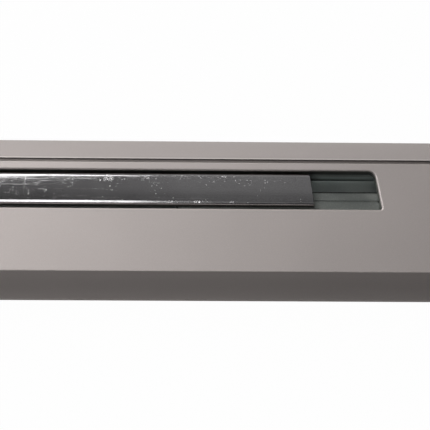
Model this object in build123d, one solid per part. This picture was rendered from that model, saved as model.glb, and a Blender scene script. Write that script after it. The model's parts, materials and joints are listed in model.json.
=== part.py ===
from build123d import *
import os
from math import atan, hypot, radians, sin, tan

# Snap-off utility knife for 18 mm blades, with an interlocking two-shell metal handle.
# Millimetres. X runs along the knife, with the blade leaving towards -X. Y runs across it,
# with the spine at +Y and the cutting edge at -Y. Z is up from the flat back face to the
# thumb face. The origin is the middle of the back face.

# ---- handle ---------------------------------------------------------------------------
handle_length = 182.0        # nose tip to end of the cap
handle_width = 29.8          # across the rounded side edges, to 0.1
handle_thickness = 11.2
face_width = 20.7            # flat faces, front and back, from ridge to ridge
flank_crown = 0.35           # how far a flank bulges from the straight line
side_radius = 1.5            # rounding of the two side edges
ridge_radius = 0.3
nose_length = 7.5            # metal nose ahead of the shells
cap_length = 18.0            # end cap behind the shells
shell_gap = 0.04             # between the two interlocking shells
cap_gap = 0.15               # between the shells and the end cap

# ---- seam between the shells ----------------------------------------------------------
seam_groove_width = 0.6
seam_groove_depth = 0.6
seam_edge_radius = 0.2       # rounding of the groove's inner edge
seam_inset = 0.05            # seam inside the ridge
tongue_reach = 0.65          # how far each shell's tongue reaches past the seam
tongue_thickness = 0.75

# ---- blade ----------------------------------------------------------------------------
blade_length = 100.0
blade_width = 18.0
blade_thickness = 0.5
blade_bevel = 3.0            # width of the ground edge
blade_edge = 0.04            # thickness left at the cutting edge
blade_lean = 30.0            # degrees between a score line and square across
score_pitch = 10.0
score_depth = 0.12
score_width = 0.3
blade_hole = 5.0
blade_hole_setback = 6.5     # hole centre ahead of the blade's tail
blade_out = 10.0             # blade showing beyond the nose at rest

# ---- channel and rack -----------------------------------------------------------------
sheet = 0.8                  # plated steel sheet of the channel
bend_inside = 0.35
channel_depth = 7.7          # from the front face down to the channel's floor
lip_depth = 2.7              # from the front face down to the top of the lip
lip_width_open = 4.85        # slot's upper edge to the lip's edge
lip_edge_radius = 0.25       # roll-over of the lip's punched edge
lip_end_radius = 0.7
lip_end_depth = 2.6          # how far in the lip is cut away behind its end
blade_side_gap = 0.2
seat_gap = 0.05              # channel in the shells
channel_setback = 0.6        # channel's front inside the nose
channel_tail_gap = 0.5       # channel's rear end inside the shells
rack_sheet = 0.8
rack_width = 8.7
rack_proud = 1.7             # rack plate's edge past the lip's edge
rack_past_slot = 1.5         # rack plate's end behind the slot's end
notch_pitch = 5.0
notch_depth = 1.0
notch_width = 1.8
notch_root = 0.5
relief_end = 24.5            # the lip and the upper wall are cut back from the front to here
relief_under_slot = 0.6      # lip's edge below the slot's lower edge along the relief
relief_slant = 1.2
wall_drop = 1.6

# ---- slot in the front face -----------------------------------------------------------
slot_height = 7.1
slot_top = 8.25              # upper edge of the slot, above the centre line
slot_rear_wall = 11.5        # metal left between the slot and the rear of the shell
slot_front_wall = 3.5
slot_end_lean = 11.0         # degrees off square of the slot's rear end
slot_front_radius = 1.75
slot_big_radius = 1.4
slot_small_radius = 0.4
rim_radius = 0.3

# ---- carrier --------------------------------------------------------------------------
forward_travel = 45.0
rear_travel = 10.0
strip_sheet = 0.8
strip_crown = 0.25           # how far the strip's top bulges
strip_sunk = 0.3             # strip below the front face
strip_top_gap = 0.2          # strip to the slot's upper edge
strip_low_gap = 0.6          # and to its lower edge
strip_rear_gap = 12.15       # strip's end to the slot's end, at rest
strip_end_lean = 8.0
strip_bend = 1.0             # outside radius of the strip's rolled edges
strip_corner = 1.1           # rounding of the strip's end, seen from above
slide_gap = 0.1              # carrier parts above what they slide on
carrier_thickness = 1.2
carrier_side_gap = 0.25
carrier_overhang = 4.0       # plate behind the blade's tail
carrier_corner = 4.0
peg_gap = 0.1                # carrier's peg in the blade's hole
leaf_thickness = 0.4
leaf_width = 2.2
leaf_rack_gap = 0.35         # spring leaf beside the rack plate
leaf_bend = 1.2
leaf_rise_length = 4.5
leaf_pad = 1.2               # extra width of the leaf where it is clamped
tooth_depth = 0.85
tooth_gap = 0.15             # tooth to each side of its notch
neck_length = 11.0
neck_chamfer = 0.25
rivet_diameter = 1.4

# ---- thumb button ---------------------------------------------------------------------
button_length = 22.0
button_width = 10.8
button_height = 4.6
button_behind_stem = 7.5
button_travel = 0.7
button_air = 0.25            # under the button when it is pressed home
button_draft = 0.5           # lean of each side, from bottom to top
button_edge_radius = 1.6
button_stop_run = 4.5        # length of the raised stop at the button's front
button_dish = 1.9            # depth of the dish below the stop
stem_length = 10.5
stem_side_room = 1.35        # strip's edge to the stem
stem_gap = 0.2
stem_shoulder = 0.7
foot_inset = 0.2
retainer_thickness = 0.7
retainer_reach = 1.3
pad_wall = 1.6               # button left round the pad
pad_depth = 3.2
pad_gap = 0.03
rib_count = 7
rib_height = 0.6

# ---- screws and pins ------------------------------------------------------------------
screw_diameter = 2.5
screw_head = 4.4
nose_screw_diameter = 1.6
nose_screw_head = 3.0
nose_pin_diameter = 2.0
hole_gap = 0.02              # round a fastener in its hole
recess_depth = 0.45
recess_share = 0.28          # reach of a cross recess as a share of the head
rack_rivet_inset = 5.0       # from the lip's edge, and from the rack plate's ends

# ---- nose -----------------------------------------------------------------------------
nose_lean = 20.0             # degrees between the nose's end and square across
nose_corner = 9.0            # where the slant starts, below the centre line
nose_taper = 0.6
nose_tongue_sheet = 1.0
nose_tongue_length = 7.0
nose_tongue_side_room = 1.5
prong_width = 2.6
prong_length = 8.0
prong_wall = 0.9             # spine left between the prong and the channel
root_overlap = 0.5           # how far a tongue, prong or spigot starts inside its root

# ---- end cap --------------------------------------------------------------------------
cap_set_in = 0.05            # cap inside the shells' outline
cap_corner = 4.0
spigot_length = 9.0
spigot_gap = 0.15
lanyard_hole = 4.0
lanyard_wall = 0.8           # hole to the ridge
lanyard_setback = 4.5        # hole centre behind the cap's front
breaker_sheet = 0.5
breaker_slit = 0.9
breaker_depth = 8.0
breaker_side_room = 0.35     # at each side of the blade
breaker_sunk = 0.2
latch_sheet = 0.3
latch_width = 4.0
latch_hole = 3.0
latch_room = 0.2
grip_grooves = 3
grip_pitch = 1.8
grip_start = 2.4
grip_width = 0.8
grip_depth = 0.45

clear = 1.0                  # how far a cut runs past the surface that it opens

# ---- places worked out from the sizes above ---------------------------------------------
x_nose = -handle_length / 2
x_cap_end = handle_length / 2
x_shell_front = x_nose + nose_length
x_shell_rear = x_cap_end - cap_length
z_face = handle_thickness
z_side = handle_thickness / 2
y_ridge = face_width / 2
y_side = handle_width / 2
y_seam = y_ridge - seam_inset
y_groove = y_seam - seam_groove_width

# the flanks meet in a corner outside the rounded side edge
flank_length = hypot(y_side - y_ridge, z_side)
flank_turn = 2 * atan(2 * flank_crown / flank_length)
side_half_angle = atan(z_side / (y_side - y_ridge)) + flank_turn
y_corner = y_side + side_radius * (1 / sin(side_half_angle) - 1)

z_floor = z_face - channel_depth
z_floor_under = z_floor - sheet
z_lip = z_face - lip_depth
z_lip_under = z_lip - sheet
y_wall = slot_top                                    # channel's upper inner wall
y_low_wall = y_wall - blade_width - 2 * blade_side_gap
y_lip = slot_top - lip_width_open
y_rack = y_lip + rack_proud
y_rack_low = y_rack - rack_width
y_rack_rivet = y_lip - rack_rivet_inset
z_rack_under = z_lip_under - rack_sheet
z_cavity_low = z_floor_under - seat_gap
z_cavity_high = z_lip + seat_gap
y_cavity_low = y_low_wall - sheet - seat_gap
y_cavity_high = y_wall + sheet + seat_gap
z_low_tongue = z_cavity_low - tongue_thickness
channel_screw_places = (x_shell_front + 20, 0.0, x_shell_rear - 16)

x_slot_front = x_shell_front + slot_front_wall
x_slot_rear = x_shell_rear - slot_rear_wall
y_slot_low = slot_top - slot_height
x_rack_rear = x_slot_rear + rack_past_slot
rack_rivet_places = (x_slot_front + rack_rivet_inset, 0.0, x_rack_rear - rack_rivet_inset)

x_strip_rear = x_slot_rear - strip_rear_gap
y_strip_high = slot_top - strip_top_gap
y_strip_low = y_slot_low + strip_low_gap
y_strip = (y_strip_high + y_strip_low) / 2
z_strip = z_face - strip_sunk
z_strip_under = z_strip - strip_sheet
z_flange = z_lip + slide_gap

z_blade = z_floor + slide_gap
z_blade_top = z_blade + blade_thickness
y_blade_low = y_low_wall + blade_side_gap
y_blade_high = y_blade_low + blade_width
y_blade = (y_blade_low + y_blade_high) / 2
x_blade_tip = x_nose - blade_out
x_blade_tail = x_blade_tip + blade_length
x_peg = x_blade_tail - blade_hole_setback

z_carrier = z_blade_top + seat_gap
z_carrier_top = z_carrier + carrier_thickness
x_neck_rear = x_peg - 0.5
x_neck_front = x_neck_rear - neck_length
x_stem_rear = x_neck_front - 2.5
x_stem_front = x_stem_rear - stem_length
x_tooth = (x_stem_front + x_stem_rear) / 2
x_strip_front = x_stem_front - 2.0
y_leaf_low = y_rack + leaf_rack_gap
y_leaf_high = y_leaf_low + leaf_width
z_leaf = z_rack_under + (rack_sheet - leaf_thickness) / 2
z_leaf_clamped_top = z_carrier_top + leaf_thickness
y_neck_rivet = (y_leaf_low + y_strip_high - strip_sheet) / 2
neck_rivet_places = (x_neck_front + 2.4, x_neck_rear - 2.6)

z_button = z_face + button_travel + button_air
z_button_top = z_button + button_height
x_button_rear = x_stem_rear + button_behind_stem
x_button_front = x_button_rear - button_length
y_stem_low = y_strip_low + stem_side_room
y_stem_high = y_strip_high - stem_side_room
z_retainer_top = z_strip_under - slide_gap
x_pad_front = x_button_front + button_stop_run + 1.1
x_pad_rear = x_button_rear - 3.6
y_pad_half = button_width / 2 - pad_wall
z_pad = z_button_top - pad_depth

y_tongue_low = y_cavity_low + nose_tongue_side_room
y_tongue_high = y_slot_low - nose_tongue_side_room / 2
x_nose_screw = x_shell_front + nose_tongue_length / 2 + 0.5
nose_screw_rows = [y_tongue_low + share * (y_tongue_high - y_tongue_low)
                   for share in (0.25, 0.75)]
y_prong = y_cavity_high + prong_wall + prong_width / 2
x_nose_pin = x_shell_front + prong_length / 2 + 0.5
z_nose_pin_top = z_side + prong_width / 2 + 1.5

x_cap_front = x_shell_rear + cap_gap
x_spigot_front = x_shell_rear - spigot_length
x_lanyard = x_cap_front + lanyard_setback
y_lanyard = y_ridge - lanyard_hole / 2 - lanyard_wall
breaker_half_width = blade_width / 2 + breaker_side_room
x_latch_front = x_spigot_front + 0.5
x_latch = x_spigot_front + 2.5
x_latch_rivet = x_cap_front - 2.4
z_latch = z_floor + spigot_gap
z_latch_top = z_latch + latch_sheet


def block(x0, x1, y0, y1, z0, z1):
    """Rectangular solid between two corners."""
    corner = (Align.MIN, Align.MIN, Align.MIN)
    return Pos(x0, y0, z0) * Box(x1 - x0, y1 - y0, z1 - z0, align=corner)


def rod(x, y, z0, z1, diameter):
    """Upright cylinder between two heights."""
    foot = (Align.CENTER, Align.CENTER, Align.MIN)
    return Pos(x, y, z0) * Cylinder(diameter / 2, z1 - z0, align=foot)


def along_x(section, x0, x1):
    """Extrudes a section drawn in (y, z) from x0 to x1."""
    return extrude(Plane.YZ.offset(x0) * section, x1 - x0, dir=(1, 0, 0))


def along_y(section, y0, y1):
    """Extrudes a section drawn in (x, z) from y0 to y1."""
    return extrude(Plane.XZ.offset(-y0) * section, y1 - y0, dir=(0, 1, 0))


def along_z(outline, z0, z1):
    """Extrudes an outline drawn in (x, y) from z0 to z1."""
    return extrude(Plane.XY.offset(z0) * outline, z1 - z0, dir=(0, 0, 1))


def outline_through(*points):
    """Closed polygon through points given in its own plane."""
    return Polygon(*points, align=None)


def corners_at(sketch, points):
    """Vertices of a sketch nearest to the given points."""
    return [sketch.vertices().sort_by_distance(Vector(*p))[0] for p in points]


def countersunk(x, y, z_head, z_tip, diameter, head, gap=0.0):
    """Flush fastener: its head is at z_head and it runs to z_tip, above or below."""
    drop = (head - diameter) / 2
    way = 1 if z_tip > z_head else -1
    shank = rod(x, y, min(z_head, z_tip), max(z_head, z_tip), diameter + 2 * gap)
    rim, neck = head / 2 + gap, diameter / 2 + gap
    low, high = (rim, neck) if way > 0 else (neck, rim)
    cone = Pos(x, y, z_head + way * drop / 2) * Cone(low, high, drop)
    return shank + cone


def cross_recess(x, y, z_head, head):
    """Cross that is cut into a screw's head, which lies in a front or back face."""
    reach = head * recess_share
    arm = reach / 4
    low, high = z_head - recess_depth, z_head + recess_depth
    bar = block(x - reach, x + reach, y - arm, y + arm, low, high)
    return bar + block(x - arm, x + arm, y - reach, y + reach, low, high)


def group(solids):
    """Identical loose pieces kept together in one node."""
    return Compound(children=solids)


# ---- handle shells --------------------------------------------------------------------
def handle_section(shrink=0.0):
    """Flattened hexagon with crowned flanks, across the handle."""
    ridge, side = y_ridge - shrink, y_corner - shrink
    low, high = shrink, z_face - shrink
    out = Vector(z_side, side - ridge).normalized() * flank_crown
    outline = Line((-ridge, low), (ridge, low)) + Line((ridge, high), (-ridge, high))
    for hand in (-1, 1):
        for level, up in ((low, -1), (high, 1)):
            bulge = (hand * ((ridge + side) / 2 + out.X), (level + z_side) / 2 + up * out.Y)
            outline += ThreePointArc((hand * ridge, level), bulge, (hand * side, z_side))
    section = make_face(outline)
    section = fillet(corners_at(section, [(-side, z_side), (side, z_side)]), side_radius)
    ridges = [(y, z) for y in (-ridge, ridge) for z in (low, high)]
    return fillet(corners_at(section, ridges), ridge_radius)


def front_share(gap=0.0):
    """The part of the section that belongs to the front shell, grown by a gap."""
    tongue = y_seam + tongue_reach
    far = y_corner + clear
    z_tongue = z_cavity_high + tongue_thickness
    return outline_through(
        (y_seam + gap, z_face + clear), (y_seam + gap, z_tongue + gap),
        (tongue + gap, z_tongue + gap), (tongue + gap, z_cavity_high - gap),
        (y_cavity_high, z_cavity_high - gap), (y_cavity_low, z_cavity_low + gap),
        (-tongue + gap, z_cavity_low + gap), (-tongue + gap, z_low_tongue + gap),
        (-y_seam + gap, z_low_tongue + gap), (-y_seam + gap, -clear),
        (-far, -clear), (-far, z_face + clear))


def cavity_section():
    """Rectangular tunnel that both shells close round the channel."""
    return outline_through((y_cavity_low, z_cavity_low), (y_cavity_high, z_cavity_low),
                           (y_cavity_high, z_cavity_high), (y_cavity_low, z_cavity_high))


def groove_section(hand, z_open):
    """Shallow groove that shows where the two shells meet, beside a ridge."""
    inner, outer = hand * y_groove, hand * y_seam
    low, high = z_open - seam_groove_depth, z_open + seam_groove_depth
    return outline_through((inner, low), (outer, low), (outer, high), (inner, high))


def slot_outline():
    """Long opening for the carrier, with its rear end leaning back."""
    lean = slot_height / 2 * tan(radians(slot_end_lean))
    front, low, high = x_slot_front, y_slot_low, slot_top
    rear_low, rear_high = (x_slot_rear + lean, low), (x_slot_rear - lean, high)
    outline = outline_through((front, low), rear_low, rear_high, (front, high))
    outline = fillet(corners_at(outline, [rear_high]), slot_big_radius)
    outline = fillet(corners_at(outline, [(front, low), (front, high)]), slot_front_radius)
    return fillet(corners_at(outline, [rear_low]), slot_small_radius)


def front_shell():
    """Thumb-side shell: the slotted face and the lower side of the handle."""
    section = handle_section() & front_share()
    section = section - cavity_section() - groove_section(1, z_face)
    section = fillet(corners_at(section, [(y_groove, z_face)]), seam_edge_radius)
    shell = along_x(section, x_shell_front, x_shell_rear)
    shell -= along_z(slot_outline(), z_cavity_high - clear, z_face + clear)
    rim = shell.faces().sort_by(Axis.Z)[-1].inner_wires()[0].edges()
    shell = fillet(rim, rim_radius)
    shell -= nose_tongue(shell_gap)
    for y in nose_screw_rows:
        shell -= countersunk(x_nose_screw, y, z_face, z_cavity_high, nose_screw_diameter,
                             nose_screw_head, hole_gap)
    return shell


def back_shell():
    """Palm-side shell: the flat back, the spine and the seats of the channel's screws."""
    section = handle_section() - front_share(shell_gap)
    section = section - cavity_section() - groove_section(-1, 0)
    section = fillet(corners_at(section, [(-y_groove, 0)]), seam_edge_radius)
    shell = along_x(section, x_shell_front, x_shell_rear)
    shell -= nose_prong(shell_gap)
    shell -= rod(x_nose_pin, y_prong, -clear, z_nose_pin_top + peg_gap,
                 nose_pin_diameter + 2 * hole_gap)
    for x in channel_screw_places:
        shell -= countersunk(x, y_blade, 0, z_floor_under, screw_diameter, screw_head, hole_gap)
    return shell


# ---- nose -----------------------------------------------------------------------------
def ahead_of_nose(setback=0.0):
    """Everything in front of the nose's slanted end, which follows the blade's score lines."""
    slope = tan(radians(nose_lean))
    x_end, far = x_nose + setback, handle_width
    x_ahead = x_nose - handle_width
    return along_z(outline_through((x_ahead, -far), (x_end, -far), (x_end, -nose_corner),
                                   (x_end + (nose_corner + far) * slope, far),
                                   (x_ahead, far)), -clear, z_face + clear)


def nose_tongue(gap=0.0):
    """Flat tongue of the nose that runs under the front shell's face."""
    root = 0 if gap else root_overlap
    return block(x_shell_front - root, x_shell_front + nose_tongue_length + gap,
                 y_tongue_low - gap, y_tongue_high + gap, z_cavity_high,
                 z_cavity_high + nose_tongue_sheet + gap)


def nose_prong(gap=0.0):
    """Square prong of the nose that plugs into the spine."""
    root = 0 if gap else root_overlap
    half = prong_width / 2 + gap
    return block(x_shell_front - root, x_shell_front + prong_length + gap,
                 y_prong - half, y_prong + half, z_side - half, z_side + half)


def nose_guide():
    """Cast nose that carries the end of the channel and ties the two shells together."""
    root_section = Plane.YZ.offset(x_shell_front) * handle_section()
    tip_section = Plane.YZ.offset(x_nose) * handle_section(nose_taper)
    nose = Part() + loft([root_section, tip_section], ruled=True)
    nose -= ahead_of_nose()
    nose += nose_tongue() + nose_prong()
    nose -= along_x(cavity_section(), x_nose - clear, x_shell_front + nose_tongue_length + clear)
    for y in nose_screw_rows:
        nose -= rod(x_nose_screw, y, z_floor, z_face, nose_screw_diameter + 2 * hole_gap)
    nose -= rod(x_nose_pin, y_prong, 0, z_face, nose_pin_diameter + 2 * hole_gap)
    return nose


def nose_screws():
    """Two small countersunk screws from the thumb face into the nose's tongue."""
    return group([countersunk(x_nose_screw, y, z_face, z_cavity_high + seat_gap,
                              nose_screw_diameter, nose_screw_head)
                  - cross_recess(x_nose_screw, y, z_face, nose_screw_head)
                  for y in nose_screw_rows])


def nose_pin():
    """Pin through the spine and the nose's prong, driven in from the back flank."""
    z_flank = (y_prong - y_ridge) / (y_side - y_ridge) * z_side
    return rod(x_nose_pin, y_prong, z_flank + ridge_radius, z_nose_pin_top, nose_pin_diameter)


# ---- channel --------------------------------------------------------------------------
def blade_channel():
    """Folded steel channel: floor, two walls and one wide lip over the blade."""
    y_out_low, y_out_high = y_low_wall - sheet, y_wall + sheet
    outer = outline_through((y_out_low, z_floor_under), (y_out_high, z_floor_under),
                            (y_out_high, z_lip), (y_out_low, z_lip))
    outer = fillet(corners_at(outer, [(y_out_low, z_floor_under), (y_out_high, z_floor_under),
                                      (y_out_low, z_lip)]), bend_inside + sheet)
    inner = outline_through((y_low_wall, z_floor), (y_wall, z_floor), (y_wall, z_lip_under),
                            (y_low_wall, z_lip_under))
    inner = fillet(corners_at(inner, [(y_low_wall, z_floor), (y_wall, z_floor),
                                      (y_low_wall, z_lip_under)]), bend_inside)
    mouth = outline_through((y_lip, z_lip_under - sheet), (y_wall, z_lip_under - sheet),
                            (y_wall, z_lip + clear), (y_lip, z_lip + clear))
    section = outer - inner - mouth
    section = fillet(corners_at(section, [(y_lip, z_lip)]), lip_edge_radius)
    channel = along_x(section, x_nose, x_shell_rear - channel_tail_gap)
    channel -= ahead_of_nose(channel_setback)
    channel -= along_z(lip_relief(), z_rack_under, z_lip + clear)
    channel -= along_z(lip_end(), z_rack_under, z_lip + clear)
    channel -= wall_relief()
    for x in channel_screw_places:
        channel -= rod(x, y_blade, z_floor_under - clear, z_floor + clear,
                       screw_diameter + 2 * hole_gap)
    channel -= rod(x_latch, y_blade, z_floor_under - clear, z_floor + clear, latch_hole)
    for x in rack_rivet_places:
        channel -= rod(x, y_rack_rivet, z_rack_under, z_lip + clear,
                       rivet_diameter + 2 * hole_gap)
    return channel


def lip_relief():
    """Cut that sets the lip's edge back over the rack, with a slanted end."""
    x_start, y_cut = x_slot_front - clear, y_slot_low - relief_under_slot
    return outline_through((x_start, y_cut), (relief_end, y_cut),
                           (relief_end + relief_slant, y_lip + clear), (x_start, y_lip + clear))


def lip_end():
    """Cut that ends the lip just before the slot's rear end, and leaves it a rounded corner."""
    x_end = x_slot_rear + lip_end_radius - seat_gap
    x_arc, y_arc = x_end - lip_end_radius, y_lip - lip_end_radius
    behind = outline_through((x_end, y_lip - lip_end_depth), (x_shell_rear, y_lip - lip_end_depth),
                             (x_shell_rear, y_lip + clear), (x_end, y_lip + clear))
    corner = outline_through((x_arc, y_arc), (x_end, y_arc), (x_end, y_lip + clear),
                             (x_arc, y_lip + clear))
    return behind + (corner - Pos(x_arc, y_arc) * Circle(lip_end_radius))


def wall_relief():
    """Cut that lowers the upper wall beside the carrier's working length."""
    x_start, z_cut = x_slot_front - clear, z_lip - wall_drop
    outline = outline_through((x_start, z_cut), (relief_end, z_cut),
                              (relief_end + relief_slant, z_lip + clear),
                              (x_start, z_lip + clear))
    return along_y(outline, y_wall - bend_inside, y_wall + sheet + clear)


def rack_plate():
    """Flat plate under the lip whose notches hold the carrier every 5 mm."""
    plate = block(x_slot_front, x_rack_rear, y_rack_low, y_rack, z_rack_under, z_lip_under)
    half, root, y_root = notch_width / 2, notch_root / 2, y_rack - notch_depth
    slant = (half - root) / notch_depth * clear
    for step in range(int((forward_travel + rear_travel) / notch_pitch) + 1):
        x = x_tooth - forward_travel + step * notch_pitch
        notch = outline_through((x - root, y_root), (x + root, y_root),
                                (x + half + slant, y_rack + clear),
                                (x - half - slant, y_rack + clear))
        plate -= along_z(notch, z_rack_under - clear, z_lip_under + clear)
    for x in rack_rivet_places:
        plate -= rod(x, y_rack_rivet, z_rack_under - clear, z_lip, rivet_diameter + 2 * hole_gap)
    return plate


def rack_rivets():
    """Flush rivets that hold the rack plate under the lip."""
    return group([rod(x, y_rack_rivet, z_rack_under, z_lip, rivet_diameter)
                  for x in rack_rivet_places])


def channel_screws():
    """Countersunk screws from the back shell into the channel's floor."""
    return group([countersunk(x, y_blade, 0, z_floor - seat_gap, screw_diameter, screw_head)
                  - cross_recess(x, y_blade, 0, screw_head) for x in channel_screw_places])


# ---- blade and carrier ----------------------------------------------------------------
def snap_off_blade():
    """Scored blade, ground on both sides of one edge, with the hole for the carrier's peg."""
    z_low, z_high = (z_blade + (blade_thickness + side * blade_edge) / 2 for side in (-1, 1))
    y_ground = y_blade_low + blade_bevel
    section = outline_through((y_blade_high, z_blade), (y_blade_high, z_blade_top),
                              (y_ground, z_blade_top), (y_blade_low, z_high),
                              (y_blade_low, z_low), (y_ground, z_blade))
    blade = along_x(section, x_blade_tip, x_blade_tail)
    slope = tan(radians(blade_lean))
    x_ahead = x_blade_tip - clear
    ahead = outline_through((x_ahead, y_blade_low - clear), (x_blade_tip, y_blade_low),
                            (x_blade_tip + blade_width * slope, y_blade_high),
                            (x_ahead, y_blade_high + clear))
    blade -= along_z(ahead, z_blade - clear, z_blade_top + clear)
    blade -= rod(x_peg, y_blade, z_blade - clear, z_blade_top + clear, blade_hole)
    score = outline_through((-score_width / 2, 0.01), (score_width / 2, 0.01), (0, -score_depth))
    for line in range(1, int(blade_length / score_pitch) - 2):
        x = x_blade_tip + line * score_pitch + blade_width / 2 * slope
        plane = Plane(origin=(x, y_blade, z_blade_top), x_dir=(-1, slope, 0), z_dir=(slope, 1, 0))
        blade -= extrude(plane * score, blade_width, both=True)
    return blade


def carrier_plate():
    """Stamped plate that runs in the channel and hooks the blade with a round peg."""
    low, high = y_low_wall + carrier_side_gap, y_wall - carrier_side_gap
    x_front, x_rear = x_strip_front - 2, x_blade_tail + carrier_overhang
    outline = outline_through((x_front, low), (x_rear, low), (x_rear, high),
                              (x_front + carrier_corner / 2, high),
                              (x_front, high - carrier_corner))
    plate = along_z(outline, z_carrier, z_carrier_top)
    plate += rod(x_peg, y_blade, z_blade + seat_gap, z_carrier_top, blade_hole - 2 * peg_gap)
    for x in neck_rivet_places:
        plate -= rod(x, y_neck_rivet, z_blade, z_strip, rivet_diameter + 2 * hole_gap)
    return plate


def lock_spring():
    """Spring leaf clamped under the neck, with the tooth that drops into the rack."""
    x_bend = x_neck_front - root_overlap
    x_top = x_bend - leaf_rise_length
    z_low, t = z_carrier_top, leaf_thickness
    side = outline_through((x_neck_rear, z_low), (x_neck_rear, z_low + t),
                           (x_bend + t / 2, z_low + t), (x_top + t / 2, z_leaf + t),
                           (x_stem_front - root_overlap, z_leaf + t),
                           (x_stem_front - root_overlap, z_leaf), (x_top, z_leaf),
                           (x_bend, z_low))
    bends = [(x_bend + t / 2, z_low + t), (x_top + t / 2, z_leaf + t), (x_top, z_leaf),
             (x_bend, z_low)]
    leaf = along_y(fillet(corners_at(side, bends), leaf_bend), y_leaf_low, y_leaf_high)
    leaf += block(x_neck_front + root_overlap, x_neck_rear, y_leaf_low - leaf_pad,
                  y_leaf_low + root_overlap, z_low, z_low + t)
    half, root, y_tip = notch_width / 2 - tooth_gap, notch_root / 2, y_rack - tooth_depth
    root -= tooth_gap / 3
    tooth = outline_through((x_tooth - half, y_leaf_low + leaf_bend), (x_tooth - half, y_rack),
                            (x_tooth - root, y_tip), (x_tooth + root, y_tip),
                            (x_tooth + half, y_rack), (x_tooth + half, y_leaf_low + leaf_bend))
    leaf += along_z(tooth, z_leaf, z_leaf + t)
    for x in neck_rivet_places:
        leaf -= rod(x, y_neck_rivet, z_carrier, z_leaf, rivet_diameter + 2 * hole_gap)
    return leaf


def carrier_neck():
    """Stepped block that stands on the plate, passes the channel's mouth and lifts the strip."""
    z_step = z_lip_under + slide_gap
    inside = strip_sheet + hole_gap
    neck = block(x_neck_front, x_neck_rear, y_leaf_low, y_leaf_high, z_leaf_clamped_top,
                 z_step + sheet)
    head = block(x_neck_front, x_neck_rear, y_strip_low + inside, y_strip_high - inside,
                 z_step, z_strip_under)
    neck += chamfer(head.edges().group_by(Axis.Z)[-1].filter_by(Axis.X), neck_chamfer)
    for x in neck_rivet_places:
        neck -= rod(x, y_neck_rivet, z_carrier, z_strip, rivet_diameter + 2 * hole_gap)
    return neck


def carrier_strip():
    """Polished strip with rolled edges that covers the slot behind the button."""
    low, high, crowned = y_strip_low, y_strip_high, z_strip - strip_crown
    outer = make_face(Line((high, crowned), (high, z_flange)) + Line((high, z_flange),
                      (low, z_flange)) + Line((low, z_flange), (low, crowned))
                      + ThreePointArc((low, crowned), (y_strip, z_strip), (high, crowned)))
    outer = fillet(corners_at(outer, [(low, crowned), (high, crowned)]), strip_bend)
    low, high = low + strip_sheet, high - strip_sheet
    inner = outline_through((low, z_flange - clear), (high, z_flange - clear),
                            (high, z_strip_under), (low, z_strip_under))
    inner = fillet(corners_at(inner, [(low, z_strip_under), (high, z_strip_under)]),
                   strip_bend - strip_sheet)
    strip = along_x(outer - inner, x_strip_front, x_strip_rear + clear)
    strip &= along_z(strip_outline(), z_flange, z_strip)
    strip -= block(x_stem_front - stem_gap, x_stem_rear + stem_gap, y_stem_low - stem_gap,
                   y_stem_high + stem_gap, z_retainer_top, z_strip + clear)
    for x in neck_rivet_places:
        strip -= rod(x, y_neck_rivet, z_retainer_top, z_strip + clear,
                     rivet_diameter + 2 * hole_gap)
    return strip


def strip_outline():
    """The strip seen from above, with a slanted rear end and one rounded corner."""
    lean = tan(radians(strip_end_lean)) * (y_strip_high - y_strip_low) / 2
    rear_low, rear_high = (x_strip_rear + lean, y_strip_low), (x_strip_rear - lean, y_strip_high)
    outline = outline_through((x_strip_front, y_strip_low), rear_low, rear_high,
                              (x_strip_front, y_strip_high))
    return fillet(corners_at(outline, [rear_high]), strip_corner)


def carrier_rivets():
    """Two flush rivets through strip, neck, spring and plate."""
    return group([rod(x, y_neck_rivet, z_carrier, z_strip, rivet_diameter)
                  for x in neck_rivet_places])


# ---- thumb button ---------------------------------------------------------------------
def thumb_button():
    """Moulded button with a dished top, an upright front stop and a stem into the slot."""
    front, rear = x_button_front, x_button_rear
    z0, z1 = z_button, z_button_top
    x_dish, z_rear = front + button_stop_run, z1 - 0.8
    half = button_width / 2
    outline = Line((front, z0), (rear, z0)) + Line((rear, z0), (rear - 0.6, z_rear - 0.8))
    outline += ThreePointArc((rear - 0.6, z_rear - 0.8), (rear - 1.1, z_rear - 0.15),
                             (rear - 2.5, z_rear))
    outline += ThreePointArc((rear - 2.5, z_rear), ((front + rear) / 2 + 1, z1 - button_dish),
                             (x_dish, z1 - 0.2))
    outline += ThreePointArc((x_dish, z1 - 0.2), (x_dish - 1.6, z1), (x_dish - 2.9, z1 - 0.5))
    outline += Line((x_dish - 2.9, z1 - 0.5), (front, z0))
    body = along_y(make_face(outline), y_strip - half, y_strip + half)
    across = outline_through((y_strip - half, z0), (y_strip + half, z0),
                             (y_strip + half - button_draft, z1),
                             (y_strip - half + button_draft, z1))
    top = [(y_strip - half + button_draft, z1), (y_strip + half - button_draft, z1)]
    body &= along_x(fillet(corners_at(across, top), button_edge_radius), front, rear)
    body -= pad_seat()
    body += block(x_stem_front, x_stem_rear, y_stem_low, y_stem_high, z_retainer_top,
                  z0 + root_overlap)
    body += block(x_stem_front + stem_shoulder, x_stem_rear - stem_shoulder, y_leaf_low,
                  y_stem_high - foot_inset, z_leaf + leaf_thickness + seat_gap,
                  z_retainer_top + root_overlap)
    return body


def pad_seat():
    """Space that the pad fills in the button's dish."""
    half = y_pad_half + pad_gap
    return block(x_pad_front - pad_gap, x_pad_rear + pad_gap, y_strip - half, y_strip + half,
                 z_pad - pad_gap, z_button_top + clear)


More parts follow.
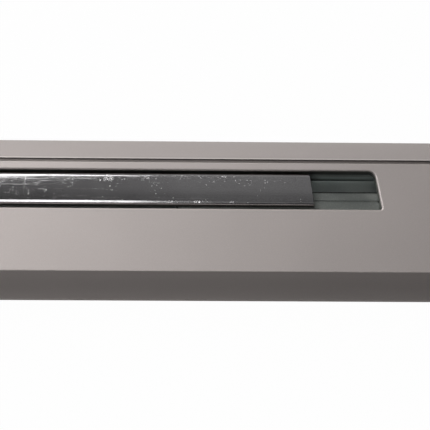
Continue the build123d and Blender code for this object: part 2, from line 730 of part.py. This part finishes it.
def button_pad():
    """Rubber pad in the button's dish, with raised ribs for the thumb."""
    x_mid, length = (x_pad_front + x_pad_rear) / 2, x_pad_rear - x_pad_front
    z_ends, z_mid = z_pad + 1.4, z_pad + 0.75
    outline = Line((x_pad_front, z_ends), (x_pad_front, z_pad))
    outline += Line((x_pad_front, z_pad), (x_pad_rear, z_pad))
    outline += Line((x_pad_rear, z_pad), (x_pad_rear, z_ends))
    outline += ThreePointArc((x_pad_rear, z_ends), (x_mid, z_mid), (x_pad_front, z_ends))
    low, high = y_strip - y_pad_half, y_strip + y_pad_half
    pad = along_y(make_face(outline), low, high)
    pitch = length / rib_count
    for rib in range(rib_count):
        x = x_pad_front + pitch * (rib + 0.5)
        z_top = z_mid + (z_ends - z_mid) * (2 * (x - x_mid) / length) ** 2 + rib_height
        pad += along_y(outline_through((x - pitch * 0.3, z_pad), (x + pitch * 0.3, z_pad),
                                       (x + pitch * 0.18, z_top), (x - pitch * 0.18, z_top)),
                       low, high)
    return pad


def button_retainer():
    """Clip pressed on the stem's end under the strip, which keeps the button on."""
    side_room = strip_sheet + stem_gap
    shoulder = stem_shoulder - hole_gap
    plate = block(x_stem_front - retainer_reach, x_stem_rear + retainer_reach,
                  y_strip_low + side_room, y_strip_high - side_room,
                  z_retainer_top - retainer_thickness, z_retainer_top)
    return plate - block(x_stem_front + shoulder, x_stem_rear - shoulder, y_leaf_low - hole_gap,
                         y_stem_high - foot_inset + hole_gap, z_leaf, z_strip)


# ---- end cap --------------------------------------------------------------------------
def cap_body():
    """Moulded cap with a spigot into the channel and a slit for snapping segments."""
    cap = along_x(handle_section(cap_set_in), x_cap_front, x_cap_end)
    plan = Pos(x_cap_front, 0) * fillet(Rectangle(2 * (x_cap_end - x_cap_front),
                                                  handle_width).vertices(), cap_corner)
    cap &= along_z(plan, -clear, z_face + clear)
    cap += block(x_spigot_front, x_cap_front + root_overlap, y_low_wall + spigot_gap,
                 y_wall - spigot_gap, z_floor + spigot_gap, z_lip_under - spigot_gap)
    cap -= breaker_seat(hole_gap)
    cap -= rod(x_lanyard, y_lanyard, -clear, z_face + clear, lanyard_hole)
    half = latch_width / 2 + latch_room
    cap -= block(x_latch_front - latch_room, x_cap_front - latch_room, y_blade - half,
                 y_blade + half, z_floor, z_latch_top)
    cap -= rod(x_latch_rivet, y_blade, z_floor, z_latch_top + 1.9, rivet_diameter + 2 * hole_gap)
    for groove in range(grip_grooves):
        x = x_cap_front + grip_start + groove * grip_pitch
        for hand in (-1, 1):
            cap -= Pos(x, hand * y_side, z_side) * Box(grip_width, 2 * grip_depth, z_face)
    return cap


def breaker_seat(gap=0.0):
    """Outside of the folded steel insert in the cap's rear."""
    half = breaker_half_width + gap
    reach = breaker_slit / 2 + breaker_sheet + gap
    return block(x_cap_end - breaker_depth - gap, x_cap_end + clear, -half, half,
                 z_side - reach, z_side + reach)


def breaker_plate():
    """Folded steel insert that takes the blade's end while a segment is snapped off."""
    half = breaker_half_width + clear
    inner = block(x_cap_end - breaker_depth + breaker_sheet, x_cap_end + 2 * clear, -half, half,
                  z_side - breaker_slit / 2, z_side + breaker_slit / 2)
    rear = block(x_cap_end - breaker_sunk, x_cap_end + 2 * clear, -half, half, 0, z_face)
    return breaker_seat() - inner - rear


def cap_latch():
    """Leaf under the spigot whose dimple clicks into the hole in the channel's floor."""
    half = latch_width / 2
    leaf = block(x_latch_front, x_cap_front - 2 * latch_room, y_blade - half, y_blade + half,
                 z_latch, z_latch_top)
    drop = z_latch_top - (z_floor_under + seat_gap)
    leaf += Pos(x_latch, y_blade, z_latch_top - drop / 2) * Cone(0.6, latch_hole / 2 - 0.3, drop)
    return leaf - rod(x_latch_rivet, y_blade, z_floor, z_face, rivet_diameter + 2 * hole_gap)


def cap_rivet():
    """Rivet that holds the latch leaf to the spigot."""
    return rod(x_latch_rivet, y_blade, z_latch, z_latch_top + 1.8, rivet_diameter)


parts = {
    "front_shell": front_shell,
    "back_shell": back_shell,
    "nose_guide": nose_guide,
    "nose_screws": nose_screws,
    "nose_pin": nose_pin,
    "blade_channel": blade_channel,
    "rack_plate": rack_plate,
    "rack_rivets": rack_rivets,
    "channel_screws": channel_screws,
    "snap_off_blade": snap_off_blade,
    "carrier_plate": carrier_plate,
    "lock_spring": lock_spring,
    "carrier_neck": carrier_neck,
    "carrier_strip": carrier_strip,
    "carrier_rivets": carrier_rivets,
    "thumb_button": thumb_button,
    "button_pad": button_pad,
    "button_retainer": button_retainer,
    "end_cap": cap_body,
    "breaker_plate": breaker_plate,
    "cap_latch": cap_latch,
    "cap_rivet": cap_rivet,
}

os.makedirs("parts", exist_ok=True)
for name, make in parts.items():
    export_step(make(), f"parts/{name}.step")
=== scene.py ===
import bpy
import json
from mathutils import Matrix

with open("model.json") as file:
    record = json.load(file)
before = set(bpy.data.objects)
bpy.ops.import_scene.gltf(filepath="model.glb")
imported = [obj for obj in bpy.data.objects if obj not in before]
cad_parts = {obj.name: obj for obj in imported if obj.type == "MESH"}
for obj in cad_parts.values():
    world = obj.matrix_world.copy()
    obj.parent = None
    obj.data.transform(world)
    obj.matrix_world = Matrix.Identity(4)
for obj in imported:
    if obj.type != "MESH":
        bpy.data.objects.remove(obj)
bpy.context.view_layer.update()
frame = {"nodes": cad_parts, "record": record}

import json
import math

import bpy
from mathutils import Matrix, Vector

MM = 0.001
nodes = frame["nodes"]


# ---- shader helpers -------------------------------------------------------------------
class Shader:
    """A material's node tree with a Principled shader, built a node at a time."""

    def __init__(self, name):
        self.material = bpy.data.materials.new(name)
        self.material.use_nodes = True
        self.tree = self.material.node_tree
        self.principled = self.tree.nodes["Principled BSDF"]
        self.place = self.add("ShaderNodeTexCoord").outputs["Object"]

    def add(self, kind, **settings):
        """A new node of a kind, with its plain settings."""
        node = self.tree.nodes.new(kind)
        for key, value in settings.items():
            setattr(node, key, value)
        return node

    def feed(self, socket, value):
        """Links another node's output to a socket, or sets a plain value on it."""
        if isinstance(value, bpy.types.NodeSocket):
            self.tree.links.new(value, socket)
        else:
            socket.default_value = value

    def set(self, **inputs):
        """Sets the Principled shader's inputs, with _ for each space in their names."""
        for key, value in inputs.items():
            self.feed(self.principled.inputs[key.replace("_", " ")], value)

    def stretched(self, x=1.0, y=1.0, z=1.0):
        """The object's own coordinates, scaled along each axis."""
        mapping = self.add("ShaderNodeMapping")
        self.feed(mapping.inputs["Vector"], self.place)
        mapping.inputs["Scale"].default_value = (x, y, z)
        return mapping.outputs["Vector"]

    def noise(self, size, detail=2.0, roughness=0.5, vector=None):
        """Noise with features of about the given size in metres, from 0 to 1."""
        node = self.add("ShaderNodeTexNoise")
        self.feed(node.inputs["Vector"], vector or self.place)
        node.inputs["Scale"].default_value = 1 / size
        node.inputs["Detail"].default_value = detail
        node.inputs["Roughness"].default_value = roughness
        return node.outputs["Fac"]

    def specks(self, size, reach, vector=None):
        """1 in the middle of scattered specks, 0 away from them."""
        node = self.add("ShaderNodeTexVoronoi")
        self.feed(node.inputs["Vector"], vector or self.place)
        node.inputs["Scale"].default_value = 1 / size
        return self.ramp(node.outputs["Distance"], 0.0, reach, 1.0, 0.0)

    def ramp(self, value, start, end, low=0.0, high=1.0):
        """Smooth step from low to high as the value goes from start to end."""
        node = self.add("ShaderNodeMapRange", interpolation_type="SMOOTHSTEP")
        for socket, number in zip(("Value", "From Min", "From Max", "To Min", "To Max"),
                                  (value, start, end, low, high)):
            self.feed(node.inputs[socket], number)
        return node.outputs["Result"]

    def blend(self, factor, first, second):
        """The first colour at factor 0, the second at 1; a colour is a tuple or a socket."""
        node = self.add("ShaderNodeMix", data_type="RGBA")
        self.feed(node.inputs["Factor"], factor)
        self.feed(node.inputs["A"], first if not isinstance(first, tuple) else (*first, 1))
        self.feed(node.inputs["B"], second if not isinstance(second, tuple) else (*second, 1))
        return node.outputs["Result"]

    def maths(self, operation, first, second):
        """Result of a Math node of two values."""
        node = self.add("ShaderNodeMath", operation=operation)
        self.feed(node.inputs[0], first)
        self.feed(node.inputs[1], second)
        return node.outputs[0]

    def bump(self, height, depth, under=None):
        """Bump of the given depth in metres, over another bump if one is given."""
        node = self.add("ShaderNodeBump")
        self.feed(node.inputs["Height"], height)
        node.inputs["Distance"].default_value = depth
        node.inputs["Strength"].default_value = 1.0
        if under:
            self.feed(node.inputs["Normal"], under)
        return node.outputs["Normal"]

    def hidden(self, reach, dark, light):
        """1 where less than the dark share of the room is open, 0 where more than the light."""
        room = self.add("ShaderNodeAmbientOcclusion", samples=8)
        room.inputs["Distance"].default_value = reach
        return self.ramp(room.outputs["AO"], dark, light, 1.0, 0.0)

    def within(self, half_width, height):
        """1 within a half width of the middle in Y and below a height in Z, 0 elsewhere."""
        parts = self.add("ShaderNodeSeparateXYZ")
        self.feed(parts.inputs[0], self.place)
        across = self.maths("ABSOLUTE", parts.outputs["Y"], 0.0)
        inside = self.maths("LESS_THAN", across, half_width)
        below = self.ramp(parts.outputs["Z"], height - 0.05 * MM, height + 0.05 * MM, 1.0, 0.0)
        return self.maths("MULTIPLY", inside, below)

    def near_edge(self, reach, open_share=0.92):
        """1 along outer edges, 0 further from them than the reach in metres."""
        room = self.add("ShaderNodeAmbientOcclusion", samples=8, inside=True)
        room.inputs["Distance"].default_value = reach
        return self.ramp(room.outputs["AO"], 0.6, open_share, 1.0, 0.0)


# ---- materials ------------------------------------------------------------------------
# places in the knife's own coordinates that tell one part of a surface from another
HIGHLIGHT_FREE_SIDE = 8.1 * MM          # half width inside which the paint's edges get no painted highlight
SLOT_SIDE = 9 * MM              # half width that holds the slot and leaves out the groove
WALL_TOP = 10.6 * MM            # within that width the paint below this height turns near-black
INNER_TOP = 6.5 * MM            # the channel's floor lies below this height, its lip above
ABOVE_ALL = 20 * MM             # higher and wider than the whole handle


def satin_paint():
    """Warm silver paint with painted highlights on its outer edges, painted shade in the grooves,
    and a near-black tone within SLOT_SIDE below WALL_TOP, which takes in the slot's walls and the
    middle of the flat back."""
    shader = Shader("satin_paint")
    cloud = shader.noise(14 * MM, 2)
    grain = shader.noise(0.11 * MM, 2)
    tone = shader.blend(cloud, (0.480, 0.434, 0.418), (0.500, 0.452, 0.436))
    tone = shader.blend(shader.ramp(grain, 0.4, 0.75, 0, 0.35), tone, (0.63, 0.575, 0.555))
    # painted highlight: lighter paint along the outer edges outside the middle band, standing in
    # for the light lines on the ridges
    highlight_free = shader.within(HIGHLIGHT_FREE_SIDE, ABOVE_ALL)
    painted_edge_highlight = shader.maths("MULTIPLY", shader.near_edge(0.3 * MM), 0.6)
    painted_edge_highlight = shader.maths("MULTIPLY", painted_edge_highlight, shader.maths("SUBTRACT", 1.0, highlight_free))
    tone = shader.blend(painted_edge_highlight, tone, (0.75, 0.70, 0.68))
    # painted shade: the paint is darkened where the groove beyond the slot's width is hemmed in
    seam_side = shader.maths("SUBTRACT", 1.0, shader.within(SLOT_SIDE, ABOVE_ALL))
    painted_groove_shade = shader.maths("MULTIPLY", shader.hidden(0.7 * MM, 0.5, 0.95), seam_side)
    tone = shader.blend(painted_groove_shade, tone, (0.23, 0.205, 0.193))
    # near-black tone below that height within the slot's width, on the slot's walls and the middle
    # of the flat back
    near_black_band = shader.within(SLOT_SIDE, WALL_TOP)
    tone = shader.blend(near_black_band, tone, shader.blend(grain, (0.035, 0.036, 0.03), (0.11, 0.11, 0.095)))
    peel = shader.bump(shader.noise(0.9 * MM, 2), 0.002 * MM)
    fine = shader.bump(grain, 0.0025 * MM, under=peel)
    shader.set(Base_Color=tone, Metallic=0.52, Normal=fine,
               Roughness=shader.ramp(cloud, 0.2, 0.8, 0.46, 0.50))
    return shader.material


def polished_steel():
    """Bright steel strip with long fine scratches, a few across it, dust and a hazy patch."""
    shader = Shader("polished_steel")
    smudge = shader.noise(6 * MM, 4)
    fine = shader.noise(0.16 * MM, 3)
    tone = shader.blend(smudge, (0.56, 0.545, 0.56), (0.70, 0.69, 0.70))
    tone = shader.blend(shader.ramp(fine, 0.35, 0.6, 0.35, 0.0), tone, (0.30, 0.29, 0.29))
    along = shader.ramp(shader.noise(0.3 * MM, 2, vector=shader.stretched(0.02, 1, 1)), 0.60, 0.68)
    across = shader.ramp(shader.noise(1.1 * MM, 2, vector=shader.stretched(1, 0.05, 1)), 0.70, 0.74)
    dust = shader.maths("MULTIPLY", shader.specks(0.42 * MM, 0.22),
                        shader.ramp(shader.noise(2.5 * MM, 3), 0.48, 0.62))
    haze = shader.maths("MULTIPLY", shader.ramp(shader.noise(3.5 * MM, 3), 0.56, 0.68),
                        shader.ramp(fine, 0.4, 0.65))
    marks = shader.maths("MAXIMUM", shader.maths("MULTIPLY", along, 0.12),
                         shader.maths("MULTIPLY", across, 0.14))
    marks = shader.maths("MAXIMUM", marks, shader.maths("MULTIPLY", dust, 0.65))
    marks = shader.maths("MAXIMUM", marks, shader.maths("MULTIPLY", haze, 0.22))
    tone = shader.blend(marks, tone, (0.86, 0.85, 0.83))
    dents = shader.specks(5 * MM, 0.06, shader.stretched(1, 1.6, 1))
    drawn = shader.noise(0.25 * MM, 2, vector=shader.stretched(0.03, 1, 1))
    normal = shader.bump(drawn, 0.0035 * MM)
    normal = shader.bump(shader.maths("ADD", marks, dents), -0.02 * MM, under=normal)
    rough = shader.ramp(smudge, 0.25, 0.75, 0.08, 0.14)
    shader.set(Base_Color=tone, Metallic=1.0, Normal=normal,
               Roughness=shader.maths("ADD", rough, shader.maths("MULTIPLY", marks, 0.45)))
    return shader.material


def plated_steel():
    """Bluish zinc plating with fine sparkle, darker on the lip, and painted shade along its outer
    edges.
    """
    shader = Shader("plated_steel")
    stain = shader.noise(4 * MM, 4, vector=shader.stretched(0.4, 1, 1))
    spangle = shader.specks(0.3 * MM, 0.45)
    tone = shader.blend(stain, (0.42, 0.485, 0.48), (0.52, 0.545, 0.52))
    lip = shader.maths("SUBTRACT", 1.0, shader.within(ABOVE_ALL, INNER_TOP))
    tone = shader.blend(lip, tone, shader.blend(stain, (0.28, 0.31, 0.30), (0.37, 0.38, 0.355)))
    tone = shader.blend(shader.maths("MULTIPLY", spangle, 0.3), tone, (0.66, 0.68, 0.64))
    # painted shade: near-black along the outer edges of the channel and rack, where their gaps fall
    # in shade
    tone = shader.blend(shader.near_edge(0.5 * MM, 0.97), tone, (0.03, 0.03, 0.028))
    normal = shader.bump(shader.noise(0.2 * MM, 3), 0.012 * MM)
    shader.set(Base_Color=tone, Metallic=0.92, Normal=normal,
               Roughness=shader.ramp(stain, 0.3, 0.7, 0.28, 0.42))
    return shader.material


def ground_steel():
    """Blade ground across, with a thin film of oil."""
    shader = Shader("blade_steel")
    lines = shader.noise(0.08 * MM, 2, vector=shader.stretched(1, 0.04, 1))
    oil = shader.noise(7 * MM, 3)
    tone = shader.blend(oil, (0.27, 0.27, 0.28), (0.35, 0.347, 0.343))
    shader.set(Base_Color=tone, Metallic=1.0, Normal=shader.bump(lines, 0.004 * MM),
               Roughness=shader.ramp(oil, 0.3, 0.7, 0.38, 0.46))
    return shader.material


def spring_steel():
    """Hardened spring steel, bluish in patches."""
    shader = Shader("spring_steel")
    blue = shader.noise(3 * MM, 3)
    tone = shader.blend(blue, (0.30, 0.31, 0.35), (0.42, 0.40, 0.38))
    shader.set(Base_Color=tone, Metallic=1.0, Roughness=0.34,
               Normal=shader.bump(shader.noise(0.15 * MM), 0.004 * MM))
    return shader.material


def fastener_steel():
    """Nickel plating of the screws, pins and rivets, worn in patches."""
    shader = Shader("fastener_steel")
    wear = shader.noise(1.2 * MM, 3)
    tone = shader.blend(wear, (0.48, 0.48, 0.47), (0.62, 0.61, 0.59))
    shader.set(Base_Color=tone, Metallic=1.0, Roughness=shader.ramp(wear, 0.3, 0.7, 0.25, 0.4),
               Normal=shader.bump(shader.noise(0.1 * MM), 0.004 * MM))
    return shader.material


def cast_metal():
    """Blasted cast metal of the nose."""
    shader = Shader("cast_nose")
    blast = shader.noise(0.22 * MM, 3, 0.6)
    cloud = shader.noise(5 * MM, 3)
    tone = shader.blend(cloud, (0.27, 0.268, 0.265), (0.33, 0.327, 0.32))
    shader.set(Base_Color=tone, Metallic=0.85, Normal=shader.bump(blast, 0.02 * MM),
               Roughness=shader.ramp(cloud, 0.3, 0.7, 0.46, 0.54))
    return shader.material


def moulded_plastic():
    """Charcoal plastic with the fine texture of a spark-eroded mould."""
    shader = Shader("dark_plastic")
    spark = shader.noise(0.3 * MM, 3, 0.6)
    cloud = shader.noise(8 * MM, 2)
    tone = shader.blend(cloud, (0.040, 0.040, 0.043), (0.055, 0.054, 0.056))
    shader.set(Base_Color=tone, Normal=shader.bump(spark, 0.03 * MM),
               Roughness=shader.ramp(cloud, 0.3, 0.7, 0.45, 0.55))
    return shader.material


def grip_rubber():
    """Matte black rubber, a little dusty."""
    shader = Shader("grip_rubber")
    dust = shader.noise(2 * MM, 4)
    tone = shader.blend(shader.ramp(dust, 0.5, 0.8), (0.026, 0.026, 0.028), (0.05, 0.05, 0.05))
    shader.set(Base_Color=tone, Roughness=0.75,
               Normal=shader.bump(shader.noise(0.15 * MM, 3), 0.02 * MM))
    return shader.material


MATERIALS = {
    "satin_paint": satin_paint(), "cast_nose": cast_metal(), "plated_steel": plated_steel(),
    "polished_steel": polished_steel(), "blade_steel": ground_steel(),
    "spring_steel": spring_steel(), "fastener_steel": fastener_steel(),
    "dark_plastic": moulded_plastic(), "grip_rubber": grip_rubber(),
}

# width in millimetres of the broken edges of each piece, where it isn't the usual one
EDGE_WIDTHS = {"front_shell": 0.08, "back_shell": 0.08, "snap_off_blade": 0.0,
               "nose_guide": 0.12, "end_cap": 0.15, "thumb_button": 0.12, "rack_plate": 0.04,
               "blade_channel": 0.04, "carrier_strip": 0.2}
USUAL_EDGE = 0.06
SHARP_ANGLE = math.radians(35)


def dress(node, slot):
    """Gives a CAD node its material, smooth faces and fine broken edges."""
    piece = nodes[node]
    for place in piece.material_slots:
        place.material = MATERIALS[slot]
    for face in piece.data.polygons:
        face.use_smooth = True
    width = EDGE_WIDTHS.get(node, USUAL_EDGE) * MM
    if width:
        bevel = piece.modifiers.new("broken_edges", "BEVEL")
        bevel.width = width
        bevel.segments = 2
        bevel.limit_method = "ANGLE"
        bevel.angle_limit = SHARP_ANGLE
    shading = piece.modifiers.new("flat_faces", "WEIGHTED_NORMAL")
    shading.keep_sharp = True
    shading.weight = 80


for part in frame["record"]["subparts"]:
    dress(part["node"], part["material_slot"])


# ---- stage ----------------------------------------------------------------------------
TABLE_REACH = 1.5
TABLE_LEVEL = -0.05 * MM        # just clear of the knife's back
TABLE_SHOWN = 0.985             # share of plain white in the table as the camera sees it
TABLE_MIRRORED = 0.15           # and as the knife mirrors it

# strength of the studio from straight to the edge side (-1) to straight to the spine side (1),
# and the share of it left from straight to the nose (-1) to straight to the cap (1)
SKY_ACROSS = ((-1.0, 0.01), (-0.9, 0.01), (-0.75, 0.02), (-0.5, 0.16), (-0.3, 0.16),
              (-0.12, 0.08), (0.0, 0.12), (0.2, 0.2), (0.5, 0.22), (0.75, 0.3), (1.0, 0.3))
SKY_ALONG = ((-1.0, 0.4), (-0.09, 0.4), (0.05, 1.0), (0.2, 0.45), (1.0, 0.3))


def sheet(name, corners, material):
    """New object that is one flat face through four corners."""
    mesh = bpy.data.meshes.new(name)
    mesh.from_pydata(corners, [], [(0, 1, 2, 3)])
    mesh.materials.append(material)
    piece = bpy.data.objects.new(name, mesh)
    bpy.context.collection.objects.link(piece)
    return piece


def floor():
    """Wide pale table under the knife, which takes its shadow."""
    material = bpy.data.materials.new("table_white")
    material.use_nodes = True
    tree = material.node_tree
    tree.nodes.clear()
    diffuse = tree.nodes.new("ShaderNodeBsdfDiffuse")
    diffuse.inputs["Color"].default_value = (0.50, 0.50, 0.50, 1)
    glow = tree.nodes.new("ShaderNodeEmission")
    glow.inputs["Color"].default_value = (1, 1, 1, 1)
    glow.inputs["Strength"].default_value = 1.0
    mix = tree.nodes.new("ShaderNodeMixShader")
    tree.links.new(seen_directly(tree, TABLE_SHOWN, TABLE_MIRRORED), mix.inputs["Fac"])
    tree.links.new(diffuse.outputs[0], mix.inputs[1])
    tree.links.new(glow.outputs[0], mix.inputs[2])
    out = tree.nodes.new("ShaderNodeOutputMaterial")
    tree.links.new(mix.outputs[0], out.inputs["Surface"])
    reach, level = TABLE_REACH, TABLE_LEVEL
    table = sheet("table_top", [(-reach, -reach, level), (reach, -reach, level),
                                (reach, reach, level), (-reach, reach, level)], material)


def flag():
    """Black card standing beside the edge side, which keeps the far table out of that flank."""
    material = bpy.data.materials.new("flag_black")
    material.use_nodes = True
    shine = material.node_tree.nodes["Principled BSDF"].inputs
    shine["Base Color"].default_value = (0.01, 0.01, 0.01, 1)
    shine["Roughness"].default_value = 1.0
    side, ends, height = -0.05, 0.16, 0.035
    card = sheet("edge_flag", [(-ends, side, 0), (ends, side, 0), (ends, side, height),
                               (-ends, side, height)], material)
    card.visible_camera = False
    card.visible_shadow = False


def seen_directly(tree, on_camera, on_gloss):
    """One share on camera rays, another on glossy and transmission rays, and 0 on the rest."""
    path = tree.nodes.new("ShaderNodeLightPath")
    total = None
    for name, share in (("Is Camera Ray", on_camera), ("Is Glossy Ray", on_gloss),
                        ("Is Transmission Ray", on_gloss)):
        scale = tree.nodes.new("ShaderNodeMath")
        scale.operation = "MULTIPLY"
        scale.inputs[1].default_value = share
        tree.links.new(path.outputs[name], scale.inputs[0])
        if total is None:
            total = scale.outputs[0]
            continue
        most = tree.nodes.new("ShaderNodeMath")
        most.operation = "MAXIMUM"
        tree.links.new(total, most.inputs[0])
        tree.links.new(scale.outputs[0], most.inputs[1])
        total = most.outputs[0]
    return total


def graded(tree, value, points):
    """Strength over -1 to 1, straight between the given (place, strength) points."""
    span = tree.nodes.new("ShaderNodeMapRange")
    span.inputs["From Min"].default_value = -1.0
    tree.links.new(value, span.inputs["Value"])
    level = tree.nodes.new("ShaderNodeValToRGB")
    tree.links.new(span.outputs["Result"], level.inputs["Fac"])
    stops = level.color_ramp.elements
    for count, (place, strength) in enumerate(points):
        if 0 < count < len(points) - 1:
            stops.new((place + 1) / 2)
        stops[count].position = (place + 1) / 2
        stops[count].color = (strength, strength, strength, 1)
    return level.outputs["Color"]


def sky():
    """Dim studio, darker on the knife's edge side than on its spine side; white as a backdrop."""
    world = bpy.data.worlds.new("studio")
    bpy.context.scene.world = world
    world.use_nodes = True
    tree = world.node_tree
    place = tree.nodes.new("ShaderNodeTexCoord")
    parts = tree.nodes.new("ShaderNodeSeparateXYZ")
    tree.links.new(place.outputs["Generated"], parts.inputs[0])
    level = tree.nodes.new("ShaderNodeMath")
    level.operation = "MULTIPLY"
    tree.links.new(graded(tree, parts.outputs["Y"], SKY_ACROSS), level.inputs[0])
    tree.links.new(graded(tree, parts.outputs["X"], SKY_ALONG), level.inputs[1])
    mix = tree.nodes.new("ShaderNodeMix")
    mix.data_type = "FLOAT"
    tree.links.new(seen_directly(tree, 1.0, 0.0), mix.inputs["Factor"])
    tree.links.new(level.outputs[0], mix.inputs["A"])
    mix.inputs["B"].default_value = 1.0
    tree.links.new(mix.outputs["Result"], tree.nodes["Background"].inputs["Strength"])
    tree.nodes["Background"].inputs["Color"].default_value = (1, 1, 1, 1)


def softbox(name, place, aim, size, power):
    """Rectangular lamp at a place, facing a point; sizes in metres, power in watts."""
    lamp = bpy.data.lights.new(name, "AREA")
    lamp.shape = "RECTANGLE"
    lamp.size, lamp.size_y = size
    lamp.energy = power
    holder = bpy.data.objects.new(name, lamp)
    bpy.context.collection.objects.link(holder)
    away = Vector(place) - Vector(aim)
    holder.location = place
    holder.rotation_euler = away.to_track_quat("Z", "Y").to_euler()
    holder.visible_camera = False


def camera():
    """Long lens almost straight above the rear half of the knife, a little from the edge side."""
    target = Vector((31.75, -0.05, 11.2)) * MM      # on the thumb face, mid picture
    distance = 0.4
    tilt = math.radians(11.57)      # toward the edge side
    turn = math.radians(2.28)       # toward the nose
    roll = math.radians(-0.08)
    back = Vector((-math.sin(turn) * math.cos(tilt), -math.sin(tilt),
                   math.cos(turn) * math.cos(tilt)))
    right = Vector((0, 1, 0)).cross(back).normalized()
    up = back.cross(right)
    axes = Matrix((right, up, back)).transposed()
    lens = bpy.data.cameras.new("camera")
    lens.lens = 185.4
    lens.sensor_width = 36
    lens.clip_start = 0.01
    holder = bpy.data.objects.new("camera", lens)
    bpy.context.collection.objects.link(holder)
    turned = axes @ Matrix.Rotation(roll, 3, "Z")
    holder.matrix_world = Matrix.Translation(target + back * distance) @ turned.to_4x4()
    bpy.context.scene.camera = holder


floor()
flag()
sky()
softbox("left_overhead", place=(-0.18, 0.15, 0.20), aim=(0.01, 0, 0.01), size=(0.37, 0.37),
        power=1.62)
softbox("edge_side", place=(-0.015, -0.165, 0.35), aim=(-0.015, 0, 0.01), size=(0.07, 0.25),
        power=0.13)
camera()
bpy.context.scene.view_settings.view_transform = "Standard"
